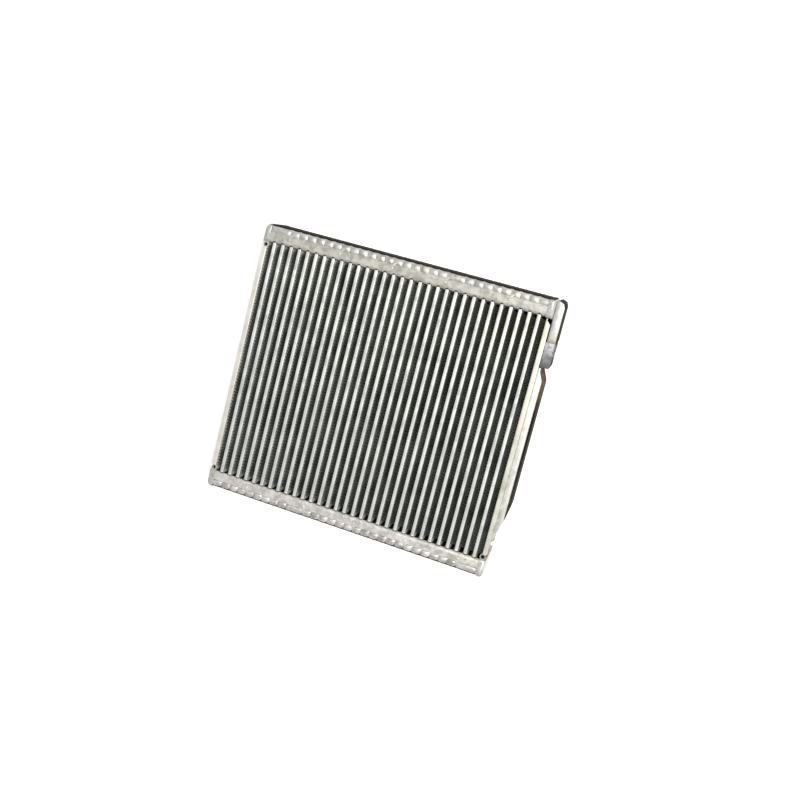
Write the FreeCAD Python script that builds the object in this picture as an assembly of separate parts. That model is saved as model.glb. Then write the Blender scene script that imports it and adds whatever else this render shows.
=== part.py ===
import FreeCAD, Part
import math
import os

from FreeCAD import Vector

os.makedirs("parts", exist_ok=True)

# Evaporator core of a vehicle air conditioner, brazed from aluminium, lying on its back.
# X runs along the two tanks, Y along the flat tubes towards the top tank, and Z from the
# back of the core to its front. Sizes are in millimetres.

# Flat tubes
TUBE_COUNT = 31
TUBE_PITCH = 7.6
TUBE_THICKNESS = 2.8
TUBE_DEPTH = 38.0
TUBE_WALL = 0.45
TUBE_NOSE_FLAT = 1.2
TUBE_MIDDLE_WEB = 3.0
CORE_HEIGHT = 203.0

# Folded fins between the tubes
FIN_LEGS = 16
FIN_STRIP = 0.4
FIN_END_GAP = 3.2
FIN_RECESS = 1.2

# Header plates, which hold the tube ends
HEADER_WALL = 1.5
HEADER_BEND = 3.0
SKIRT_HEIGHT = 7.8
SLOT_CLEARANCE = 0.05
TAB_WIDTH = 3.2
TAB_HEIGHT = 2.6
TAB_LEAN = 1.0
TAB_THICKNESS = 0.8
PUNCH_RADIUS = 0.9
PUNCH_DEPTH = 0.7
PUNCH_HEIGHT = 3.9

# Tank covers with their ribs
TANK_HEIGHT = 15.0
COVER_WALL = 1.2
COVER_BEND = 4.2
COVER_CLEARANCE = 0.05
RIB_RISE = 0.7
RIB_SHIFT = 0.8
VALLEY_WIDTH = 2.2

# Plates inside the tanks
PARTITION_WALL = 1.2
BAFFLE_WALL = 1.2
CROSSOVER_COUNT = 4
CROSSOVER_WIDTH = 9.0
CROSSOVER_HEIGHT = 6.0

# Drawn caps on the ends of the tanks
CAP_WALL = 0.8
CAP_FLOOR = 1.2
CAP_LENGTH = 5.7
CAP_ROUNDING = 2.5

# Side plates
SIDE_WALL = 1.2
SIDE_FLANGE = 4.1
SIDE_MARGIN = 0.5
SIDE_END_LAND = 1.2
CAP_OVERHANG = 3.2

# Refrigerant ducts and the connector block on the right side
DUCT_WALL = 1.2
UPPER_DUCT_WIDTH = 7.6
UPPER_DUCT_SETBACK = 0.1
UPPER_DUCT_CORNER = 2.4
UPPER_DUCT_SHOULDER = 5.0
UPPER_DUCT_ROUNDING = 1.8
LOWER_DUCT_REACH = 6.8
LOWER_DUCT_NECK = 1.9
LOWER_DUCT_ROUNDING = 3.0
LOWER_DUCT_TAPER_BEND = 24.0
LOWER_DUCT_SHOULDER = 5.0
LOWER_DUCT_NECK_BEND = 4.0
TOE_HEIGHT = 15.5
TAPER_LENGTH = 26.0
SHOULDER_DROP = 13.4
NECK_LENGTH = 3.3
BLOCK_TOP_DROP = 19.0
BLOCK_HEIGHT = 21.0
BLOCK_DEPTH = 30.0
BLOCK_EDGE = 1.0
OUTLET_RADIUS = 7.0
INLET_RADIUS = 4.6
OUTLET_OFFSET = 6.5
INLET_OFFSET = 7.6
PORT_DEPTH = 9.0
CLAMP_HOLE_RADIUS = 2.5
CLAMP_HOLE_DEPTH = 8.0
CLAMP_HOLE_OFFSET_Y = 6.6
CLAMP_HOLE_OFFSET_Z = 2.0
OUTLET_PASSAGE_WIDTH = 4.4
OUTLET_PASSAGE_DEPTH = 8.0
INLET_PASSAGE_RADIUS = 1.4
WINDOW_HEIGHT = 7.0
WINDOW_MARGIN = 2.4
FEED_TUBE_THICKNESS = 1.6
FEED_TUBE_MARGIN = 2.0
FEED_TUBE_WALL = 0.4
FEED_TUBE_LENGTH = 22.0
FOOT_WALL = 1.2

# Bends in the sheet are drawn as chords, each turning about this much
CHORD_TURN = math.radians(45)

# Two places closer than this are the same place
TOUCH = 1e-6

# Places that follow from the sizes above
LAST_TUBE = (TUBE_COUNT - 1) // 2
TUBE_GAP = TUBE_PITCH - TUBE_THICKNESS
WEB_INNER = LAST_TUBE * TUBE_PITCH + TUBE_THICKNESS / 2 + TUBE_GAP
WEB_OUTER = WEB_INNER + SIDE_WALL
FLANGE_EDGE = WEB_INNER + SIDE_FLANGE
CAP_FACE = WEB_OUTER + CAP_OVERHANG
CAP_RIM = CAP_FACE - CAP_LENGTH
TANK_END = CAP_FACE - CAP_FLOOR
TOP_FACE = CORE_HEIGHT / 2
UPPER_DUCT_EDGE = CAP_FACE + UPPER_DUCT_WIDTH
CORE_X = -(UPPER_DUCT_EDGE - CAP_FACE) / 2
HEADER_DEPTH = TUBE_DEPTH + 2 * HEADER_WALL
MIDDLE_Z = HEADER_DEPTH / 2 + CAP_WALL
BLOCK_TOP = TOP_FACE - BLOCK_TOP_DROP
BLOCK_BOTTOM = BLOCK_TOP - BLOCK_HEIGHT
BLOCK_MIDDLE = (BLOCK_TOP + BLOCK_BOTTOM) / 2
SIDE_DEPTH = TUBE_DEPTH + 2 * SIDE_MARGIN
SIDE_INNER_DEPTH = SIDE_DEPTH - 2 * SIDE_WALL
UPPER_DUCT_DEPTH = HEADER_DEPTH + 2 * (CAP_WALL - CAP_ROUNDING - UPPER_DUCT_SETBACK)
COVER_HALF_DEPTH = HEADER_DEPTH / 2 - HEADER_WALL - COVER_CLEARANCE
COVER_FOOT = HEADER_WALL + COVER_CLEARANCE
TUBE_REACH = HEADER_WALL - SLOT_CLEARANCE
CAVITY_TOP = TANK_HEIGHT - RIB_RISE - COVER_WALL
CAVITY_HALF_DEPTH = COVER_HALF_DEPTH - COVER_WALL
CAVITY_BEND = COVER_BEND - RIB_RISE - COVER_WALL
FEED_TUBE_DEPTH = SIDE_INNER_DEPTH / 2 - 2 * FEED_TUBE_MARGIN

# The tank pattern, in tube pitches from the middle of the core: ribs stand over the tubes,
# with one wide smooth stretch over the baffle and another at the far left end. The baffle
# stands between the tube of this rib and the next tube.
BAFFLE_RIB = 5
FIRST_RIB = -13
TAB_VALLEYS = (-13.5, -7.5, -1.5, 4.5, 11.5)
PUNCH_PLACE = -14.2


def box(x_range, y_range, z_range):
    """A box between two limits on each axis."""
    size = [high - low for low, high in (x_range, y_range, z_range)]
    return Part.makeBox(*size, Vector(x_range[0], y_range[0], z_range[0]))


def outline_wire(corners, place):
    """A closed wire through corners (a, b, radius), where place turns (a, b) into a point."""
    points = []
    for index, (a, b, radius) in enumerate(corners):
        here = Vector(a, b, 0)
        if radius == 0:
            points.append(here)
            continue
        ahead = corners[(index + 1) % len(corners)]
        before = (Vector(*corners[index - 1][:2], 0) - here).normalize()
        after = (Vector(*ahead[:2], 0) - here).normalize()
        half_angle = before.getAngle(after) / 2
        centre = here + (before + after).normalize() * (radius / math.sin(half_angle))
        start = here + before * (radius / math.tan(half_angle)) - centre
        finish = here + after * (radius / math.tan(half_angle)) - centre
        turn = math.pi - 2 * half_angle
        chords = max(1, round(turn / CHORD_TURN))
        for step in range(chords + 1):
            angle = turn * step / chords
            spoke = start * math.sin(turn - angle) + finish * math.sin(angle)
            points.append(centre + spoke / math.sin(turn))
    placed = [place(point.x, point.y) for point in points]
    return Part.makePolygon(placed + placed[:1])


def plan_wire(corners, z):
    """A closed wire at the height z, with its corners given in X and Y."""
    return outline_wire(corners, lambda a, b: Vector(a, b, z))


def section_wire(corners, x):
    """A closed wire across the tank at x, with its corners given in Z and Y."""
    return outline_wire(corners, lambda a, b: Vector(x, b, a))


def plan_solid(corners, z_low, z_high):
    """A plate with its outline given in X and Y."""
    return Part.Face(plan_wire(corners, z_low)).extrude(Vector(0, 0, z_high - z_low))


def section_solid(corners, x_low, x_high):
    """A bar along the tank with its section given in Z and Y."""
    return Part.Face(section_wire(corners, x_low)).extrude(Vector(x_high - x_low, 0, 0))


def rounded_end(radius):
    """How far a rounded end has run, and how much it is still drawn in, chord by chord."""
    chords = round(math.pi / 2 / CHORD_TURN)
    steps = []
    for step in range(chords + 1):
        angle = math.pi / 2 * step / chords
        steps.append((radius * (1 - math.cos(angle)), radius * (1 - math.sin(angle))))
    return steps


def ruled_solid(wires):
    """A solid through closed wires of like corners, with flat faces between them."""
    rings = [[vertex.Point for vertex in wire.OrderedVertexes] for wire in wires]
    faces = [Part.Face(wires[0]), Part.Face(wires[-1])]
    for ring, ahead in zip(rings, rings[1:]):
        for index in range(len(ring)):
            corners = [ring[index - 1], ring[index], ahead[index], ahead[index - 1]]
            faces.append(Part.Face(Part.makePolygon(corners + corners[:1])))
    shell = Part.makeShell(faces)
    shell.sewShape()
    solid = Part.makeSolid(shell)
    if solid.Volume < 0:
        solid.reverse()
    return solid


def on_top(shape):
    """Moves a tank piece, made with its header face at y = 0, onto the top of the core."""
    moved = shape.copy()
    moved.translate(Vector(0, TOP_FACE, 0))
    return moved


def on_bottom(shape):
    """Turns a top tank piece half round the core's middle, to the bottom."""
    turned = on_top(shape)
    turned.rotate(Vector(0, 0, 0), Vector(0, 0, 1), 180)
    return turned


def save(shape, name):
    """Places a piece in the object's frame and writes it."""
    placed = shape.copy()
    placed.translate(Vector(CORE_X, 0, MIDDLE_Z))
    placed.exportStep("parts/" + name + ".step")


# Flat tubes: each is one wide tube with chamfered noses and two channels, one for the front
# row of the tank and one for the back row.
def tube_outline(thickness, depth, nose_flat):
    """The section of a tube in X and Z, cut back at its corners to round its nose."""
    half = thickness / 2
    tip = nose_flat / 2
    end = depth / 2
    shoulder = end - (half - tip)
    corners = [(half, shoulder), (tip, end), (-tip, end), (-half, shoulder)]
    corners += [(-half, -shoulder), (-tip, -end), (tip, -end), (half, -shoulder)]
    return corners


def tube_bar(thickness, depth, nose_flat, y_low, y_high):
    """A solid bar along Y with the tube's outline."""
    points = [Vector(x, y_low, z) for x, z in tube_outline(thickness, depth, nose_flat)]
    face = Part.Face(Part.makePolygon(points + points[:1]))
    return face.extrude(Vector(0, y_high - y_low, 0))


def flat_tube():
    reach = TOP_FACE + TUBE_REACH
    tube = tube_bar(TUBE_THICKNESS, TUBE_DEPTH, TUBE_NOSE_FLAT, -reach, reach)
    half = TUBE_THICKNESS / 2 - TUBE_WALL
    channel_end = TUBE_DEPTH / 2 - TUBE_THICKNESS / 2
    for side in (-1, 1):
        z_range = sorted((side * TUBE_MIDDLE_WEB / 2, side * channel_end))
        tube = tube.cut(box((-half, half), (-reach, reach), z_range))
    return tube


# Fins: a strip folded to and fro between two tubes, crest to crest.
def fin():
    half_length = TOP_FACE - FIN_END_GAP
    half_depth = TUBE_DEPTH / 2 - FIN_RECESS
    left_crest = -TUBE_GAP / 2
    right_crest = TUBE_GAP / 2 - FIN_STRIP
    one_side = []
    for fold in range(FIN_LEGS + 1):
        y = 2 * half_length * fold / FIN_LEGS - half_length
        one_side.append(Vector(right_crest if fold % 2 else left_crest, y, -half_depth))
    other_side = [point + Vector(FIN_STRIP, 0, 0) for point in reversed(one_side)]
    outline = Part.makePolygon(one_side + other_side + one_side[:1])
    return Part.Face(outline).extrude(Vector(0, 0, 2 * half_depth))


def fin_group(first, last):
    """The fins in the gaps numbered first to last, counted from the left side plate."""
    leftmost = -(LAST_TUBE + 0.5) * TUBE_PITCH
    fins = []
    for gap in range(first, last + 1):
        piece = fin()
        piece.translate(Vector(leftmost + gap * TUBE_PITCH, 0, 0))
        fins.append(piece)
    return Part.makeCompound(fins)


# Header plate: a stamped tray with a slot for each tube, a rolled edge and skirts that
# hold the cover by bent tabs.
def header_plate():
    half = HEADER_DEPTH / 2
    outer = [(-half, SKIRT_HEIGHT, 0), (-half, 0, HEADER_BEND)]
    outer += [(half, 0, HEADER_BEND), (half, SKIRT_HEIGHT, 0)]
    inside = half - HEADER_WALL
    hollow = box((-TANK_END, TANK_END), (HEADER_WALL, SKIRT_HEIGHT), (-inside, inside))
    plate = section_solid(outer, -TANK_END, TANK_END).cut(hollow)
    slots = []
    for number in range(-LAST_TUBE, LAST_TUBE + 1):
        x = number * TUBE_PITCH
        half_width = TUBE_THICKNESS / 2 + SLOT_CLEARANCE
        half_depth = TUBE_DEPTH / 2 + SLOT_CLEARANCE
        x_range = (x - half_width, x + half_width)
        slots.append(box(x_range, (0, HEADER_WALL), (-half_depth, half_depth)))
    plate = plate.cut(Part.makeCompound(slots))
    for side in (-1, 1):
        z_range = sorted((side * half, side * (half - TAB_THICKNESS)))
        for valley in TAB_VALLEYS:
            plate = plate.fuse(clinch_tab(valley * TUBE_PITCH + RIB_SHIFT, z_range))
    punch_at = Vector(PUNCH_PLACE * TUBE_PITCH, PUNCH_HEIGHT, half - PUNCH_DEPTH)
    punch = Part.makeCylinder(PUNCH_RADIUS, PUNCH_DEPTH, punch_at)
    return plate.cut(punch).removeSplitter()


def clinch_tab(x, z_range):
    """A leaning tongue on the skirt's free edge that lies over a valley of the cover."""
    low = SKIRT_HEIGHT
    high = SKIRT_HEIGHT + TAB_HEIGHT
    half = TAB_WIDTH / 2
    corners = [(x - half, low, 0), (x + half, low, 0)]
    corners += [(x + half + TAB_LEAN / 2, high, 0), (x - half + TAB_LEAN, high, 0)]
    return plan_solid(corners, z_range[0], z_range[1])


# Tank cover: a stamped trough whose ribs run over its rounded edges.
def cover_corners(foot, rise):
    """The cover's section from its foot up, raised by a rib's height or not."""
    half = COVER_HALF_DEPTH + rise
    top = TANK_HEIGHT - RIB_RISE + rise
    bend = COVER_BEND - RIB_RISE + rise
    return [(-half, foot, 0), (half, foot, 0), (half, top, bend), (-half, top, bend)]


def rib(x_low, x_high):
    """A rib between two valleys, with slanting flanks."""
    flank = VALLEY_WIDTH / 2
    foot = SKIRT_HEIGHT + RIB_RISE / 2
    wires = []
    for x, rise in ((x_low, 0), (x_low + flank, RIB_RISE), (x_high - flank, RIB_RISE), (x_high, 0)):
        wires.append(section_wire(cover_corners(foot, rise), x))
    return ruled_solid(wires)


def tank_cover():
    cover = section_solid(cover_corners(COVER_FOOT, 0), -TANK_END, TANK_END)
    valleys = [-CAP_RIM] + valley_places() + [CAP_RIM]
    ribs = [rib(low, high) for low, high in zip(valleys, valleys[1:])]
    cover = cover.fuse(ribs).cut(tank_cavity(-TANK_END, TANK_END))
    return cover.removeSplitter()


def valley_places():
    """Where the valleys between the ribs lie along the tank."""
    places = []
    for number in range(FIRST_RIB, LAST_TUBE + 1):
        if number != BAFFLE_RIB + 1:
            places.append((number - 0.5) * TUBE_PITCH + RIB_SHIFT)
    return places


def tank_cavity(x_low, x_high):
    """The hollow of the cover, as a bar along X."""
    half = CAVITY_HALF_DEPTH
    corners = [(-half, HEADER_WALL, 0), (half, HEADER_WALL, 0)]
    corners += [(half, CAVITY_TOP, CAVITY_BEND), (-half, CAVITY_TOP, CAVITY_BEND)]
    return section_solid(corners, x_low, x_high)


# Partition: a plate that stands on the header plate and parts the front row from the back.
def partition():
    half = PARTITION_WALL / 2
    return box((-TANK_END, TANK_END), (HEADER_WALL, CAVITY_TOP), (-half, half))


def crossover_partition():
    """The partition with windows at its right end, where one row passes into the other."""
    middle = (HEADER_WALL + CAVITY_TOP) / 2
    half = PARTITION_WALL / 2
    y_range = (middle - CROSSOVER_HEIGHT / 2, middle + CROSSOVER_HEIGHT / 2)
    windows = []
    for number in range(CROSSOVER_COUNT):
        x = (LAST_TUBE - 2 * number) * TUBE_PITCH
        x_range = (x - CROSSOVER_WIDTH / 2, x + CROSSOVER_WIDTH / 2)
        windows.append(box(x_range, y_range, (-half, half)))
    return partition().cut(Part.makeCompound(windows))


# Baffles: plates across one row of a tank, each of which ends a pass.
def baffle(side):
    """The baffle of the front row (side 1) or the back row (side -1)."""
    x = (BAFFLE_RIB + 0.5) * TUBE_PITCH
    plate = tank_cavity(x - BAFFLE_WALL / 2, x + BAFFLE_WALL / 2)
    z_range = sorted((side * PARTITION_WALL / 2, side * CAVITY_HALF_DEPTH))
    x_range = (x - BAFFLE_WALL, x + BAFFLE_WALL)
    return plate.common(box(x_range, (HEADER_WALL, CAVITY_TOP), z_range))


# End caps: drawn cups that wrap the ends of the header plate and the cover.
def cap_corners(grow):
    """The outline of the header plate and cover together, grown by a wall."""
    half = HEADER_DEPTH / 2 + grow
    top = TANK_HEIGHT - RIB_RISE + grow
    bend = COVER_BEND + grow
    corners = [(-half, -grow, HEADER_BEND + grow), (half, -grow, HEADER_BEND + grow)]
    return corners + [(half, top, bend), (-half, top, bend)]


def end_cap():
    """The cap on the right end of the top tank."""
    sections = [section_wire(cap_corners(CAP_WALL), CAP_RIM)]
    for run, drawn_in in reversed(rounded_end(CAP_ROUNDING)):
        sections.append(section_wire(cap_corners(CAP_WALL - drawn_in), CAP_FACE - run))
    return ruled_solid(sections).cut(section_solid(cap_corners(COVER_CLEARANCE), CAP_RIM, TANK_END))


def mirrored(shape):
    return shape.mirror(Vector(0, 0, 0), Vector(1, 0, 0))


def window():
    """The opening from the back row of the top tank into the upper duct."""
    middle = (HEADER_WALL + CAVITY_TOP) / 2
    y_range = (middle - WINDOW_HEIGHT / 2, middle + WINDOW_HEIGHT / 2)
    x_range = (TANK_END - CAP_FLOOR, CAP_FACE + 2 * DUCT_WALL)
    z_range = (WINDOW_MARGIN - CAVITY_HALF_DEPTH, -WINDOW_MARGIN)
    return box(x_range, y_range, z_range)


# Side plates: channels with outward flanges, which end in a slanting cut at the tanks.
def side_plate():
    """The plate on the right side of the core."""
    half = SIDE_DEPTH / 2
    end = TOP_FACE - CAP_WALL
    plate = box((WEB_INNER, WEB_OUTER), (-end, end), (-half, half))
    flange_end = TOP_FACE - SIDE_END_LAND
    for side in (-1, 1):
        z_range = sorted((side * half, side * (half - SIDE_WALL)))
        slant = flange_end - SIDE_FLANGE
        corners = [(WEB_INNER, -flange_end, 0), (FLANGE_EDGE, -slant, 0)]
        corners += [(FLANGE_EDGE, slant, 0), (WEB_INNER, flange_end, 0)]
        plate = plate.fuse(plan_solid(corners, z_range[0], z_range[1]))
    return plate.removeSplitter()


# Upper duct: a closed box section that carries the refrigerant from the end of the top
# tank down to the connector block.
def duct_corners(inset):
    """The duct's outline in X and Y, drawn in all round."""
    low = CAP_FACE + inset
    high = UPPER_DUCT_EDGE - inset
    bottom = BLOCK_TOP + inset
    top = TOP_FACE + TANK_HEIGHT - inset
    corners = [(low, bottom, 0), (high, bottom, 0)]
    return corners + [(high, top, UPPER_DUCT_SHOULDER - inset), (low, top, UPPER_DUCT_CORNER - inset)]


def duct_body(inset):
    """The duct's outside, or its hollow when inset by the wall."""
    half = UPPER_DUCT_DEPTH / 2 - inset
    back = []
    front = []
    for run, drawn_in in rounded_end(UPPER_DUCT_ROUNDING - inset):
        back.append(plan_wire(duct_corners(inset + drawn_in), run - half))
        front.append(plan_wire(duct_corners(inset + drawn_in), half - run))
    return ruled_solid(back + front[::-1])


def outlet_passage(y_low, y_high):
    middle = (CAP_FACE + UPPER_DUCT_EDGE) / 2
    half = OUTLET_PASSAGE_WIDTH / 2
    z_middle = -OUTLET_OFFSET
    z_range = (z_middle - OUTLET_PASSAGE_DEPTH / 2, z_middle + OUTLET_PASSAGE_DEPTH / 2)
    return box((middle - half, middle + half), (y_low, y_high), z_range)


def upper_duct():
    duct = duct_body(0).cut(duct_body(DUCT_WALL))
    duct = duct.cut(on_top(window()))
    return duct.cut(outlet_passage(BLOCK_TOP, BLOCK_TOP + 2 * DUCT_WALL))


# Lower duct: a shell with a neck, a shoulder and a long taper that closes the side
# plate's channel from the connector block down to the foot.
def lower_duct_body(inset, rounding):
    inner = FLANGE_EDGE
    toe = TOE_HEIGHT - TOP_FACE
    reach = FLANGE_EDGE + LOWER_DUCT_REACH - inset
    neck = FLANGE_EDGE + LOWER_DUCT_NECK - inset
    top = BLOCK_BOTTOM - inset
    shoulder_low = BLOCK_BOTTOM - SHOULDER_DROP
    shoulder_high = BLOCK_BOTTOM - NECK_LENGTH
    rise = TAPER_LENGTH / LOWER_DUCT_REACH
    low = toe + inset * math.hypot(1, rise)
    taper_top = low + (reach - inner) * rise
    corners = [
        (inner, low, 0),
        (reach, taper_top, LOWER_DUCT_TAPER_BEND - inset),
        (reach, shoulder_low, LOWER_DUCT_SHOULDER - inset),
        (neck, shoulder_high, LOWER_DUCT_NECK_BEND + inset),
        (neck, top, 0),
        (inner, top, 0),
    ]
    half = SIDE_DEPTH / 2 - inset
    block = box((WEB_INNER, reach), (low, top), (-half, half))
    long_edges = [edge for edge in block.Edges if edge.BoundBox.YLength > TOUCH]
    return plan_solid(corners, -half, half).common(block.makeFillet(rounding, long_edges))


def lower_duct():
    shell = lower_duct_body(0, LOWER_DUCT_ROUNDING)
    hollow = lower_duct_body(DUCT_WALL, LOWER_DUCT_ROUNDING - DUCT_WALL)
    return shell.cut(hollow)


# Feed tube: a thin flat tube that leads from the side plate's channel, which the lower
# duct closes, down through the bottom right cap into the front row of the bottom tank.
def feed_bar(grow, y_low, y_high):
    """A bar with the feed tube's outline, grown all round."""
    thickness = FEED_TUBE_THICKNESS + 2 * grow
    bar = tube_bar(thickness, FEED_TUBE_DEPTH + 2 * grow, thickness / 2, y_low, y_high)
    x = WEB_OUTER + SLOT_CLEARANCE + FEED_TUBE_THICKNESS / 2
    bar.translate(Vector(x, 0, SIDE_INNER_DEPTH / 4))
    return bar


def feed_tube():
    low = -TOP_FACE - TUBE_REACH
    high = low + FEED_TUBE_LENGTH
    return feed_bar(0, low, high).cut(feed_bar(-FEED_TUBE_WALL, low, high))


def bottom_right_cap():
    slot = feed_bar(SLOT_CLEARANCE, -TOP_FACE - HEADER_BEND, -TOP_FACE + CAP_WALL)
    return on_bottom(mirrored(end_cap())).cut(slot)


def slotted_bottom_header():
    """The bottom header plate, with one more slot at its right end for the feed tube."""
    slot = feed_bar(SLOT_CLEARANCE, -TOP_FACE - HEADER_BEND, -TOP_FACE)
    return on_bottom(header_plate()).cut(slot)


# Duct foot: a bar across the side plate's channel that closes it under the lower duct,
# with a slot for the feed tube.
def duct_foot():
    low = TOE_HEIGHT - TOP_FACE
    high = low + FOOT_WALL
    half = SIDE_INNER_DEPTH / 2
    foot = box((WEB_OUTER, FLANGE_EDGE), (low, high), (-half, half))
    return foot.cut(feed_bar(SLOT_CLEARANCE, low, high))


# Connector block: a machined block with the outlet and inlet ports on its outer face and
# a tongue that fills the side plate's channel.
def connector_block():
    half = BLOCK_DEPTH / 2
    x_range = (FLANGE_EDGE, UPPER_DUCT_EDGE)
    body = box(x_range, (BLOCK_BOTTOM, BLOCK_TOP), (-half, half))
    outer_edges = [edge for edge in body.Edges if edge.BoundBox.XMin > UPPER_DUCT_EDGE - TOUCH]
    body = body.makeChamfer(BLOCK_EDGE, outer_edges)
    tongue_half = SIDE_INNER_DEPTH / 2
    tongue = box((WEB_OUTER, FLANGE_EDGE), (BLOCK_BOTTOM, BLOCK_TOP), (-tongue_half, tongue_half))
    block = body.fuse(tongue).removeSplitter()
    inward = Vector(-1, 0, 0)
    outlet_at = Vector(UPPER_DUCT_EDGE, BLOCK_MIDDLE, -OUTLET_OFFSET)
    inlet_at = Vector(UPPER_DUCT_EDGE, BLOCK_MIDDLE, INLET_OFFSET)
    clamp_at = Vector(UPPER_DUCT_EDGE, BLOCK_MIDDLE + CLAMP_HOLE_OFFSET_Y, CLAMP_HOLE_OFFSET_Z)
    block = block.cut(Part.makeCylinder(OUTLET_RADIUS, PORT_DEPTH, outlet_at, inward))
    block = block.cut(Part.makeCylinder(INLET_RADIUS, PORT_DEPTH, inlet_at, inward))
    block = block.cut(Part.makeCylinder(CLAMP_HOLE_RADIUS, CLAMP_HOLE_DEPTH, clamp_at, inward))
    block = block.cut(outlet_passage(BLOCK_MIDDLE, BLOCK_TOP))
    passage_x = UPPER_DUCT_EDGE - PORT_DEPTH + INLET_PASSAGE_RADIUS / 2
    passage_at = Vector(passage_x, BLOCK_BOTTOM, INLET_OFFSET)
    passage = Part.makeCylinder(INLET_PASSAGE_RADIUS, BLOCK_HEIGHT / 2, passage_at, Vector(0, 1, 0))
    return block.cut(passage)


# The pieces, one file each
tube = flat_tube()
for number in range(TUBE_COUNT):
    placed_tube = tube.copy()
    placed_tube.translate(Vector((number - LAST_TUBE) * TUBE_PITCH, 0, 0))
    save(placed_tube, "flat_tube_%02d" % (number + 1))

PASS_BOUNDARY = LAST_TUBE - BAFFLE_RIB
save(fin_group(0, PASS_BOUNDARY), "fins_left_pass")
save(fin_group(PASS_BOUNDARY + 1, TUBE_COUNT - PASS_BOUNDARY - 1), "fins_middle_pass")
save(fin_group(TUBE_COUNT - PASS_BOUNDARY, TUBE_COUNT), "fins_right_pass")

save(on_top(header_plate()), "top_header_plate")
save(slotted_bottom_header(), "bottom_header_plate")
save(on_top(tank_cover()), "top_tank_cover")
save(on_bottom(tank_cover()), "bottom_tank_cover")
save(on_top(partition()), "top_partition")
save(on_bottom(crossover_partition()), "bottom_partition")
save(on_top(baffle(-1)), "top_back_baffle")
save(on_bottom(baffle(1)), "bottom_front_baffle")
save(on_bottom(baffle(-1)), "bottom_back_baffle")

save(on_top(mirrored(end_cap())), "top_left_cap")
save(on_top(end_cap().cut(window())), "top_right_cap")
save(on_bottom(end_cap()), "bottom_left_cap")
save(bottom_right_cap(), "bottom_right_cap")

save(mirrored(side_plate()), "left_side_plate")
save(side_plate(), "right_side_plate")
save(upper_duct(), "upper_duct")
save(lower_duct(), "lower_duct")
save(duct_foot(), "duct_foot")
save(feed_tube(), "feed_tube")
save(connector_block(), "connector_block")
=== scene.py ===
import math

import bmesh
import bpy
from mathutils import Matrix, Vector


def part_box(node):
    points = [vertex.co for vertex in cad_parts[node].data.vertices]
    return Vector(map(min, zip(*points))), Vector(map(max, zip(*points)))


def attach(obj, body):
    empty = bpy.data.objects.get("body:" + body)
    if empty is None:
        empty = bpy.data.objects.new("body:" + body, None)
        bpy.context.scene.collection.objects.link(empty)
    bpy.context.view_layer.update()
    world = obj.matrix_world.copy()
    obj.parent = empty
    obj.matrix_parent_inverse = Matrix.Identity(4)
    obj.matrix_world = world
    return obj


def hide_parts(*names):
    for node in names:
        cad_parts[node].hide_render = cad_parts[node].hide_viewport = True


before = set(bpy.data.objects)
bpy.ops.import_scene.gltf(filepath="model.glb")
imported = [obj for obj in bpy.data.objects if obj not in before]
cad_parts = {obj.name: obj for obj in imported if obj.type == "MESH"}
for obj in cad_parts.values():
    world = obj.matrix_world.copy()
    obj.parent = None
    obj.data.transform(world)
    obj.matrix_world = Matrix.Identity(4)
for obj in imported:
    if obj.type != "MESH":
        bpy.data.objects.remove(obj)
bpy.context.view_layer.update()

# Flat tubes. Thirty-one tubes are rolled from aluminium strip, with rounded noses and one
# channel for each row of the core. Their ends are brazed into the slots of the header plates.
MM = 0.001
TUBE_COUNT = 31
TUBE_WALL = 0.45 * MM
TUBE_WEB = 3.0 * MM
NOSE_SHARE = 0.36
NOSE_SEGMENTS = 4
NOSE_FROM = 0.45
TUBE_SMOOTH = 40
TUBE_BRIGHT = (0.93, 0.93, 0.86)
TUBE_DULL = (0.64, 0.66, 0.63)
# Painted shade: the tubes darken towards the bottom, and turn dark where they go under the top
# header's edge.
TUBE_SHADE_FADE = (110 * MM, -150 * MM)
TUBE_SHADE_BAND = (101.9 * MM, 102.2 * MM)
STRAIGHT = 0.9
ACROSS = 0.1
DOUBLED = 0.005 * MM

tube_low, tube_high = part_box("flat_tube_01")
next_tube_low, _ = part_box("flat_tube_02")
TUBE_PITCH = next_tube_low.x - tube_low.x
TUBE_SIZE = tube_high - tube_low
MIDDLE_Z = (tube_low.z + tube_high.z) / 2
CORE_X = tube_low.x + TUBE_SIZE.x / 2 + TUBE_PITCH * (TUBE_COUNT - 1) / 2


def pick(piece):
    """Selects one piece alone and makes it the active one."""
    bpy.ops.object.select_all(action="DESELECT")
    piece.select_set(True)
    bpy.context.view_layer.objects.active = piece


def open_mesh(piece):
    """Picks one piece and opens its mesh with nothing selected."""
    pick(piece)
    bpy.ops.object.mode_set(mode="EDIT")
    bpy.ops.mesh.select_all(action="DESELECT")


def choose(piece, kind, wanted):
    """Selects the faces, edges or corners that pass a test on their place and direction.
    The tests take a direction as along an axis from STRAIGHT on, and as across it below ACROSS."""
    bpy.ops.mesh.select_all(action="DESELECT")
    bpy.ops.mesh.select_mode(type=kind)
    mesh = bmesh.from_edit_mesh(piece.data)
    if kind == "FACE":
        found = [face for face in mesh.faces if wanted(face.calc_center_median(), face.normal)]
    elif kind == "EDGE":
        found = [edge for edge in mesh.edges if wanted(*line_of(edge))]
    else:
        found = [corner for corner in mesh.verts if wanted(corner.co, corner.normal)]
    for item in found:
        item.select_set(True)
    bmesh.update_edit_mesh(piece.data)


def line_of(edge):
    """The middle and the direction of an edge."""
    start, finish = (corner.co for corner in edge.verts)
    return (start + finish) / 2, (finish - start).normalized()


def split_at(place, way):
    """Splits all the faces of the open mesh along a plane."""
    bpy.ops.mesh.select_all(action="SELECT")
    bpy.ops.mesh.bisect(plane_co=place, plane_no=way)


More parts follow.
